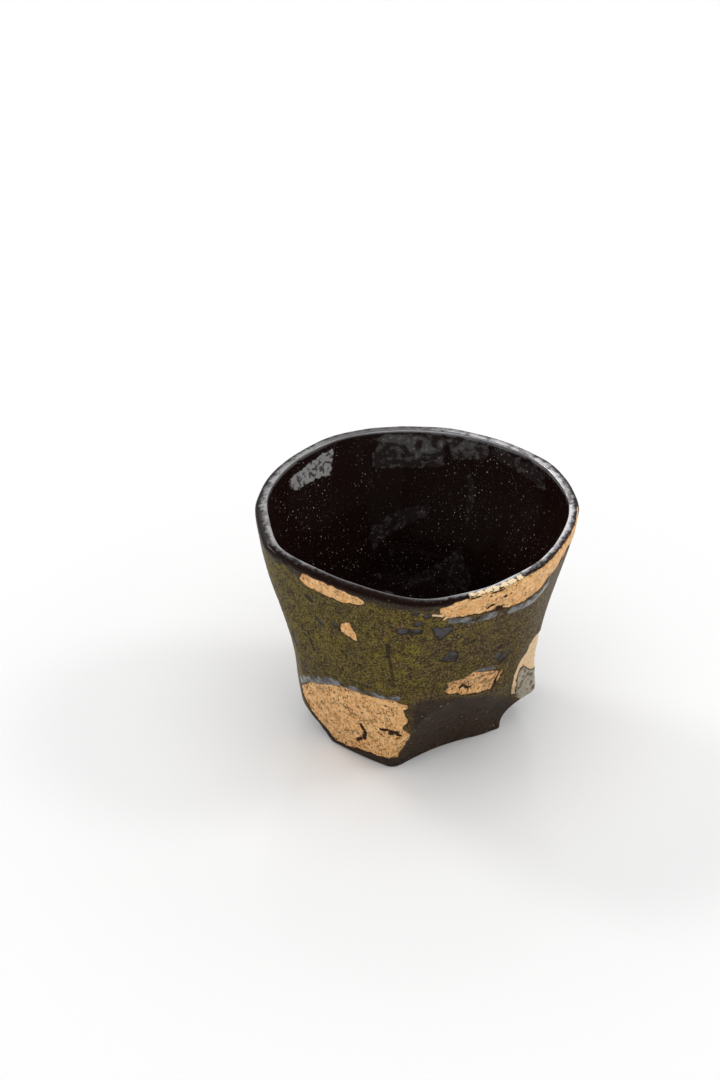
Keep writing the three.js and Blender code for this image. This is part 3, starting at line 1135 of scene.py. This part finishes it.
def painted_reflection_patches(skin):
    """Painted reflections: ragged pale patches with holes on the dark glaze inside and on the knob outside,
    each as strong as its patch.
    """
    board = skin.board
    paint = board.colours
    # Painted reflection: pale patches laid over the dark glaze inside and the knob's grey-green glaze
    cover = board.torn(board.attribute("painted_reflection"), grain=1.6, tear=2.6, softness=0.15)
    strength = board.attribute("reflection")
    least = board.ramp(strength, slope=-0.15, start=0.53)
    holes = board.step(board.clouds(grain=1.5, detail=5), least, board.math("ADD", least, 0.08))
    strength = board.times(strength, board.ramp(holes, slope=0.8, start=0.2))
    reflection = board.times(cover, strength)
    inside = board.step(board.attribute("climb"), *HOLLOW_NOT_KNOB)
    skin.lay(reflection, board.blend(inside, paint["ash"], paint["painted_reflection"]), roughness=0.3, coat=1.0)
    # Pale specks on the patches, as painted glints
    pale_specks = board.specks(spacing=1.1, size=0.22, share=0.4)
    skin.tint(board.times(pale_specks, reflection), paint["speck"])


def crawled_glaze(skin, blotch):
    """Thick rolled edges of glaze, blue-grey partly as a painted reflection, and bare spots with a dark rim
    where the glaze has crawled back.
    """
    board = skin.board
    paint = board.colours
    rolled = board.torn(board.attribute("roll"), grain=2.4, tear=2.4, softness=0.25)
    cover = board.times(rolled, board.step(board.clouds(grain=4.0), none=0.34, full=0.48))
    # Blue-grey of the rolled edges: partly a painted reflection
    colour = board.blend(board.step(blotch, none=0.42, full=0.58), paint["roll"], paint["bare"])
    skin.tint(board.times(rolled, 0.6), paint["umber"])
    skin.lay(cover, colour, roughness=0.25, height=board.times(blotch, 0.3), coat=0.6)
    depth = board.attribute("bare")
    rim = board.torn(board.math("ADD", depth, RIM_WIDTH), grain=2.2, tear=0.9, softness=0.12)
    skin.tint(board.times(rim, 0.9), paint["umber"])
    spot = board.torn(board.math("SUBTRACT", depth, RIM_INSET), grain=2.2, tear=0.9, softness=0.14)
    colour = board.blend(board.step(blotch, none=0.60, full=0.42), paint["bare"], paint["umber"])
    skin.lay(spot, colour, roughness=0.28, height=board.times(blotch, 0.3), coat=0.3)


def gold_leaf(skin):
    """Gold leaf: burnished clouds and brushed strokes, wrinkles and pits that grow with its wear, cracks, a
    painted highlight on the least worn patches, a dark line round each patch, and painted white glints on
    raised lumps along the lip."""
    board = skin.board
    paint = board.colours
    wear = board.attribute("wear")
    tear = board.ramp(board.clouds(grain=4.0, detail=2), slope=2.0, start=-1.0)
    tear = board.times(tear, board.ramp(wear, slope=0.7, start=0.1))
    depth = board.math("ADD", board.attribute("gold"), tear)
    line = board.torn(board.math("ADD", depth, GOLD_LINE), grain=1.8, tear=1.1, softness=0.12)
    skin.tint(board.times(line, 0.9), paint["gold_pit"])
    leaf = board.torn(depth, grain=1.8, tear=1.1, softness=0.10)

    drawn = board.add("ShaderNodeMapping", {
        "Vector": board.place, "Rotation": STROKE_TURN, "Scale": STROKE_SQUEEZE})
    strokes = board.noise(drawn.outputs[0], STROKE_GRAIN, detail=3, roughness=0.65)
    burnish = board.clouds(grain=1.1, detail=5, roughness=0.75)
    colour = board.blend(board.step(burnish, none=0.40, full=0.60), paint["gold"], paint["gold_light"])
    light = board.mask(strokes, none=0.55, full=0.66, strength=0.7)
    colour = board.blend(light, colour, paint["gold_light"])
    shade = board.step(strokes, none=0.45, full=0.34)
    shade = board.times(shade, board.ramp(wear, slope=0.6, start=0.4))
    colour = board.blend(shade, colour, paint["gold_shade"])

    ridge = board.math("SUBTRACT", board.clouds(grain=1.9, detail=5, roughness=0.7), NOISE_MIDDLE)
    ridge = board.math("ABSOLUTE", ridge)
    wrinkle = board.step(ridge, none=board.ramp(wear, slope=0.030, start=0.008), full=0.004)
    patchy = board.clouds(grain=3.0, detail=2)
    patchy = board.step(patchy, none=board.ramp(wear, slope=-0.25, start=0.58), full=0.62)
    pits = board.specks(spacing=1.3, size=0.26, share=board.ramp(wear, slope=0.7, start=0.08))
    crack = board.torn(board.attribute("crack"), grain=0.9, tear=3.6, softness=0.15)
    worn = board.times(wrinkle, board.ramp(patchy, slope=0.7, start=0.15))
    worn = board.math("MAXIMUM", worn, pits)
    scratch = board.step(strokes, none=0.38, full=0.32)
    scratch = board.times(scratch, board.step(wear, none=0.1, full=0.8))
    worn = board.math("MAXIMUM", board.math("MAXIMUM", worn, crack), scratch)
    # Painted highlight: the least worn gold is lightened towards the glint colour
    pale = board.mask(wear, none=0.23, full=0.17, strength=0.7)
    colour = board.blend(pale, colour, paint["gold_glint"])
    colour = board.blend(worn, colour, paint["gold_pit"])

    height = board.ramp(worn, slope=-0.20, start=board.times(burnish, 0.50))
    height = board.ramp(strokes, slope=0.25, start=height)
    metal = board.ramp(worn, slope=-GOLD_METAL, start=GOLD_METAL)
    roughness = board.mix_value(burnish, 0.26, 0.46)
    skin.lay(leaf, colour, roughness, height, metal=metal)
    # Painted glints: near-white colour laid on the raised lumps along the lip
    glint = board.torn(board.attribute("glint"), grain=0.6, tear=3.0, softness=0.15)
    skin.lay(glint, paint["gold_glint"], roughness=0.2, coat=0.5)


def floor_material(stage):
    """A pale floor with a soft polish."""
    material = bpy.data.materials.new("pale_floor")
    material.use_nodes = True
    board = Board(material.node_tree)
    shader = material.node_tree.nodes["Principled BSDF"]
    board.put(shader.inputs["Base Color"], rgba(stage.floor_colour))
    board.put(shader.inputs["Roughness"], 0.12)
    board.put(shader.inputs["Specular IOR Level"], 0.12)
    return material


def studio_sky(stage):
    """Even light that is bright near the horizon and falls off by a smooth step to a dim ceiling. A band
    of it above the horizon is brighter still behind the cup and on its right."""
    world = bpy.data.worlds.new("studio")
    world.use_nodes = True
    board = Board(world.node_tree)
    direction = board.add("ShaderNodeTexCoord").outputs["Generated"]
    right, back, up = board.add("ShaderNodeSeparateXYZ", {0: direction}).outputs
    sky = board.blend(board.step(up, *CEILING_START), rgba(stage.horizon), rgba(stage.ceiling))
    behind = board.math("MAXIMUM", board.step(back, *BACKDROP_BACK), board.step(right, *BACKDROP_RIGHT))
    behind = board.times(behind, board.step(up, *BACKDROP_START))
    strength = board.mix_value(behind, 1.0, stage.backdrop)
    background = world.node_tree.nodes["Background"]
    board.put(background.inputs["Color"], sky)
    board.put(background.inputs["Strength"], strength)
    return world


# Operators

class MESH_OT_carved_cup(Operator):
    """Build the carved cup with its relief, its glaze and its gold patches"""

    bl_idname = "mesh.carved_cup_add"
    bl_label = "Carved cup"

    def execute(self, context):
        settings = context.scene
        mesh = cup_mesh(in_millimetres(settings.cup_shape))
        mesh.materials.append(cup_material(settings.cup_finish))
        cup = bpy.data.objects.new("carved_cup", mesh)
        context.collection.objects.link(cup)
        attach(cup, "root")
        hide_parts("cup")
        return {"FINISHED"}


class SCENE_OT_cup_stage(Operator):
    """Set the pale floor, the soft light and the camera"""

    bl_idname = "scene.cup_stage_add"
    bl_label = "Stage"

    def execute(self, context):
        scene = context.scene
        stage = scene.cup_stage
        self.lay_floor(context, stage)
        self.hang_lights(context, stage)
        self.set_camera(context, stage)
        scene.view_settings.view_transform = "Standard"
        return {"FINISHED"}

    def lay_floor(self, context, stage):
        half = stage.floor_size / 2
        mesh = bpy.data.meshes.new("floor")
        corners = [(-half, -half, 0), (half, -half, 0), (half, half, 0), (-half, half, 0)]
        mesh.from_pydata(corners, [], [(0, 1, 2, 3)])
        mesh.materials.append(floor_material(stage))
        floor = bpy.data.objects.new("floor", mesh)
        context.collection.objects.link(floor)

    def hang_lights(self, context, stage):
        context.scene.world = studio_sky(stage)
        for setup in STUDIO_LIGHTS:
            light = bpy.data.lights.new(setup.name, "AREA")
            light.energy = setup.share * stage.light_power
            light.shape = "DISK"
            light.size = setup.size
            azimuth = math.radians(setup.azimuth)
            rise = math.radians(setup.rise)
            level = math.cos(rise)
            away = Vector((level * math.cos(azimuth), level * math.sin(azimuth), math.sin(rise)))
            lamp = bpy.data.objects.new(setup.name, light)
            lamp.location = away * setup.distance
            lamp.rotation_euler = away.to_track_quat("Z", "Y").to_euler()
            lamp.visible_glossy = setup.mirrored
            context.collection.objects.link(lamp)

    def set_camera(self, context, stage):
        lens = bpy.data.cameras.new("camera")
        lens.lens = stage.lens
        lens.sensor_width = SENSOR_WIDTH
        lens.clip_start = NEAREST_SEEN
        camera = bpy.data.objects.new("camera", lens)
        camera.location = stage.camera_place
        camera.rotation_euler = (math.pi / 2 - stage.camera_pitch, 0, stage.camera_yaw)
        context.collection.objects.link(camera)
        context.scene.camera = camera


class VIEW3D_PT_tea_cup(Panel):
    """Lists the cup's settings and its operators"""

    bl_label = "Tea cup"
    bl_space_type = "VIEW_3D"
    bl_region_type = "UI"
    bl_category = "Tea cup"

    def draw(self, context):
        layout = self.layout
        for operator in OPERATORS:
            layout.operator(operator.bl_idname)
        for name, group in SETTINGS.items():
            box = layout.box()
            box.label(text=name.replace("_", " ").capitalize())
            for setting in group.__annotations__:
                box.prop(getattr(context.scene, name), setting)


SETTINGS = {"cup_shape": CupShape, "cup_finish": GlazeFinish, "cup_stage": StageSetup}
OPERATORS = (MESH_OT_carved_cup, SCENE_OT_cup_stage)
CLASSES = (*SETTINGS.values(), *OPERATORS, VIEW3D_PT_tea_cup)


def register():
    for item in CLASSES:
        bpy.utils.register_class(item)
    for name, group in SETTINGS.items():
        setattr(bpy.types.Scene, name, PointerProperty(type=group))


def unregister():
    for name in SETTINGS:
        delattr(bpy.types.Scene, name)
    for item in reversed(CLASSES):
        bpy.utils.unregister_class(item)


def main():
    register()
    bpy.ops.mesh.carved_cup_add()
    bpy.ops.scene.cup_stage_add()


if __name__ == "__main__":
    main()
